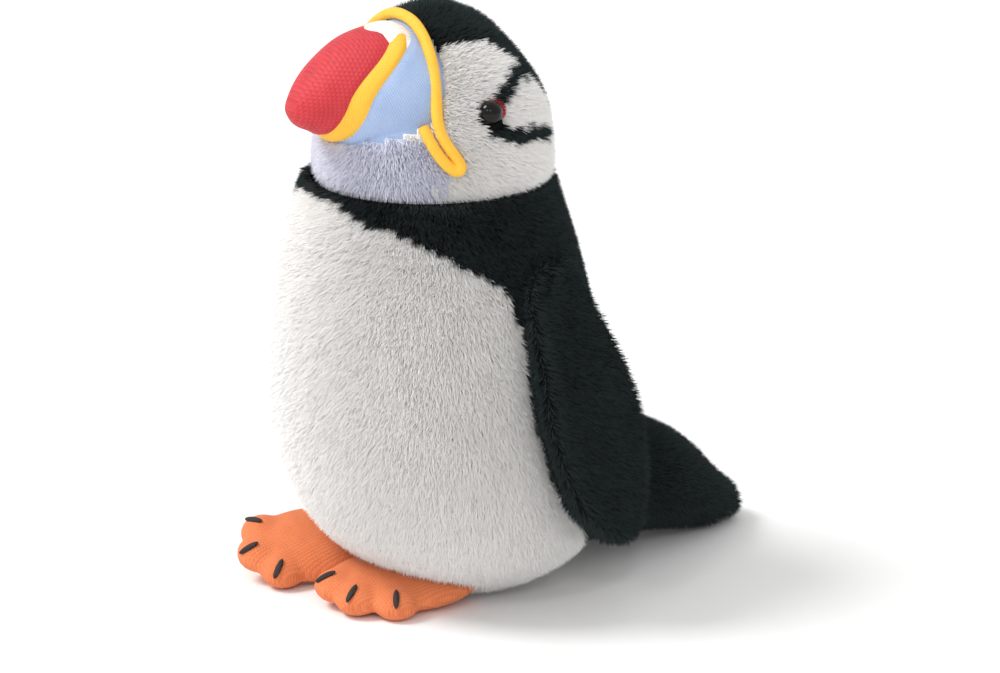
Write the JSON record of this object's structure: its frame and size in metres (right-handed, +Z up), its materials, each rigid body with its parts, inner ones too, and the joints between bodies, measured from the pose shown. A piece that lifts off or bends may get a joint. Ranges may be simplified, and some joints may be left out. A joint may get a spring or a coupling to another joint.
{
  "type": "plush toy bird",
  "caption": "Seated plush puffin with a soft stuffed body, fabric beak, bead eyes, floppy wings, tail and knitted feet.",
  "frame": {"origin": "centre of the flat base that the toy sits on", "axes": "+Z up, -Y the way the bird faces, +X the bird's left side"},
  "size_m": [0.0994, 0.1315, 0.1471],
  "materials": {
    "black_pile": "short dense pile",
    "white_pile": "short dense pile",
    "chin_pile": "short dense pile, lilac grey",
    "red_knit": "brushed knit",
    "yellow_knit": "brushed knit",
    "blue_tricot": "satin tricot",
    "orange_knit": "fine rib knit",
    "claw_thread": "satin-stitched thread",
    "red_felt": "felt",
    "eye_plastic": "polished",
    "washer_plastic": "moulded",
    "fibre_fill": "loose fibre",
    "bag_cloth": "plain weave",
    "pellet_plastic": "moulded beads"
  },
  "bodies": {
    "torso": {"base_panel": "white_pile", "belly_panel_left": "white_pile", "belly_panel_right": "white_pile", "back_panel_left": "black_pile", "back_panel_right": "black_pile", "body_stuffing": "fibre_fill", "pellet_bag": "bag_cloth", "pellets": "pellet_plastic"},
    "neck": {"neck_collar": "black_pile", "neck_stuffing": "fibre_fill"},
    "head": {"crown_panel": "black_pile", "chin_panel": "chin_pile", "head_stuffing": "fibre_fill", "beak_stuffing": "fibre_fill", "gape_piping": "yellow_knit", "cheek_panel_left": "white_pile", "cheek_panel_right": "white_pile", "beak_base_left": "blue_tricot", "beak_base_right": "blue_tricot", "beak_band_left": "yellow_knit", "beak_band_right": "yellow_knit", "beak_tip_left": "red_knit", "beak_tip_right": "red_knit", "gape_rosette_left": "yellow_knit", "gape_rosette_right": "yellow_knit", "eye_left": "eye_plastic", "eye_right": "eye_plastic", "eye_washer_left": "washer_plastic", "eye_washer_right": "washer_plastic", "eye_felt_left": "red_felt", "eye_felt_right": "red_felt"},
    "tail": {"tail_top_panel": "black_pile", "tail_bottom_panel": "black_pile", "tail_stuffing": "fibre_fill"},
    "wing_left": {"wing_inner_panel_left": "black_pile", "wing_batting_left": "fibre_fill", "wing_outer_panel_left": "black_pile"},
    "foot_left": {"foot_upper_left": "orange_knit", "foot_sole_left": "orange_knit", "foot_stuffing_left": "fibre_fill", "foot_claws_left": "claw_thread"},
    "wing_right": {"wing_inner_panel_right": "black_pile", "wing_batting_right": "fibre_fill", "wing_outer_panel_right": "black_pile"},
    "foot_right": {"foot_upper_right": "orange_knit", "foot_sole_right": "orange_knit", "foot_stuffing_right": "fibre_fill", "foot_claws_right": "claw_thread"}
  },
  "joints": [
    {"name": "neck_nod", "type": "hinge", "parent": "torso", "child": "neck", "pos_m": [0, -0.005, 0.10185], "axis": [1, 0, 0], "range_deg": [-8, 8], "stiffness_Nm_per_rad": 0.3},
    {"name": "neck_turn", "type": "hinge", "parent": "neck", "child": "head", "pos_m": [0, -0.0033, 0.1062], "axis": [0, 0, 1], "range_deg": [-25, 25], "stiffness_Nm_per_rad": 0.1},
    {"name": "wing_left_lift", "type": "hinge", "parent": "torso", "child": "wing_left", "pos_m": [0.0337, 0.00872, 0.08918], "axis": [0.5, -0.866, 0], "range_deg": [0, 60]},
    {"name": "wing_right_lift", "type": "hinge", "parent": "torso", "child": "wing_right", "pos_m": [-0.0337, 0.00872, 0.08918], "axis": [0.5, 0.866, 0], "range_deg": [0, 60]},
    {"name": "tail_lift", "type": "hinge", "parent": "torso", "child": "tail", "pos_m": [0, 0.041, 0.0336], "axis": [1, 0, 0], "range_deg": [0, 15]},
    {"name": "foot_left_droop", "type": "hinge", "parent": "torso", "child": "foot_left", "pos_m": [0.0036, -0.0048, 0.0002], "axis": [0.9135, 0.4067, 0], "range_deg": [0, 30]},
    {"name": "foot_right_droop", "type": "hinge", "parent": "torso", "child": "foot_right", "pos_m": [-0.0052, -0.0097, 0.0003], "axis": [0.8829, -0.4695, 0], "range_deg": [0, 30]}
  ]
}
